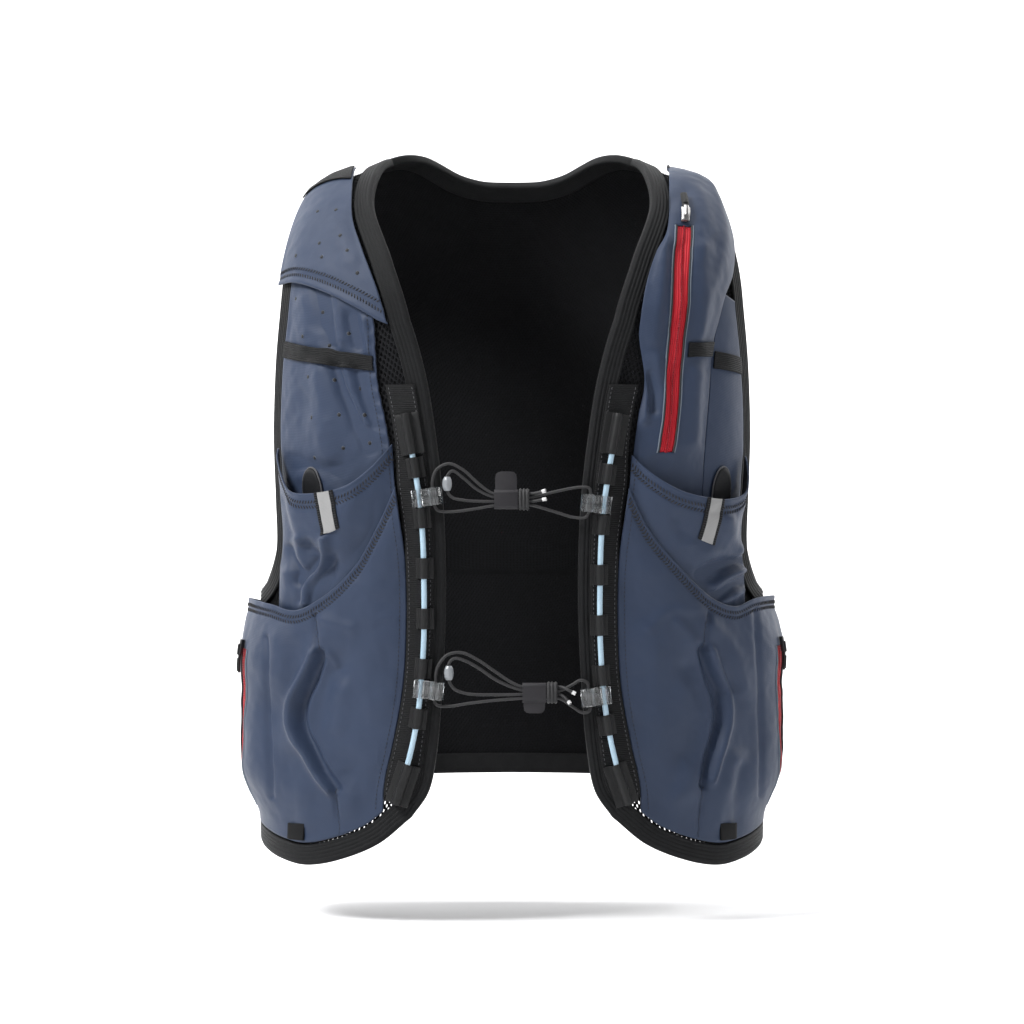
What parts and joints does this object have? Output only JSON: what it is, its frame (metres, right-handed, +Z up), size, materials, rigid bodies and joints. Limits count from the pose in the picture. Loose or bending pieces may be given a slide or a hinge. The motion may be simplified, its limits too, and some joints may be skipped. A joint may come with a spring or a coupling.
{
  "type": "running hydration vest",
  "caption": "Open-front mesh running vest with stretch pockets for soft flasks, a zipped chest pocket, zipped side pockets and two elastic sternum cords on rails.",
  "frame": {"origin": "on the line of the shoulders, midway between them, where a wearer's shoulders or a hanger carry the vest", "axes": "+Z up, -Y out of the front, +X to the wearer's left"},
  "size_m": [0.3645, 0.225, 0.4636],
  "materials": {
    "navy_cloth": "light woven stretch cloth, slightly shiny, punched with small holes on the chest",
    "black_mesh": "padded spacer mesh with small oval holes, matt",
    "black_tape": "ribbed elastic tape, matt",
    "red_zip": "woven zip tape over a closed coil, satin",
    "rail_plastic": "smooth satin rod",
    "clear_plastic": "clear moulded plastic",
    "cord_elastic": "braided elastic cord with a thin pale fleck",
    "label_cloth": "smooth woven label, satin",
    "keeper_cloth": "dark matt webbing",
    "black_metal": "coated zip slider"
  },
  "bodies": {
    "root": {"chest_sleeve": "navy_cloth", "shoulder_flap": "navy_cloth", "chest_zip_pocket": "navy_cloth", "outer_chest_panel": "navy_cloth", "flask_pocket_right": "navy_cloth", "flask_pocket_left": "navy_cloth", "lower_pocket_right": "navy_cloth", "lower_pocket_left": "navy_cloth", "front_panel_left": "black_mesh", "front_panel_right": "black_mesh", "back_panel": "black_mesh", "edge_binding": "black_tape", "armhole_binding_left": "black_tape", "armhole_binding_right": "black_tape", "chest_loop_right": "black_tape", "chest_loop_left_front": "black_tape", "chest_loop_left_outer": "black_tape", "rail_tape_left": "black_tape", "rail_tape_right": "black_tape", "flask_tab_right": "black_tape", "flask_tab_left": "black_tape", "hem_tab_right": "black_tape", "hem_tab_left": "black_tape", "shoulder_tab_left": "black_tape", "shoulder_tab_right": "black_tape", "rail_loop_left_1": "black_tape", "rail_loop_left_2": "black_tape", "rail_loop_left_3": "black_tape", "rail_loop_left_4": "black_tape", "rail_loop_left_5": "black_tape", "rail_loop_left_6": "black_tape", "rail_loop_right_1": "black_tape", "rail_loop_right_2": "black_tape", "rail_loop_right_3": "black_tape", "rail_loop_right_4": "black_tape", "rail_loop_right_5": "black_tape", "rail_loop_right_6": "black_tape", "chest_zip": "red_zip", "side_zip_right": "red_zip", "side_zip_left": "red_zip", "rail_left": "rail_plastic", "rail_right": "rail_plastic", "clip_upper_left": "clear_plastic", "clip_upper_right": "clear_plastic", "clip_lower_left": "clear_plastic", "clip_lower_right": "clear_plastic", "cord_bead_upper": "clear_plastic", "cord_bead_lower": "clear_plastic", "sternum_cord_upper": "cord_elastic", "sternum_cord_lower": "cord_elastic", "cord_wrap_upper": "cord_elastic", "cord_wrap_lower": "cord_elastic", "label_tab_right": "label_cloth", "label_tab_left": "label_cloth", "cord_keeper_upper": "keeper_cloth", "cord_keeper_lower": "keeper_cloth", "chest_zip_slider": "black_metal", "side_zip_slider_right": "black_metal", "side_zip_slider_left": "black_metal"}
  },
  "joints": []
}
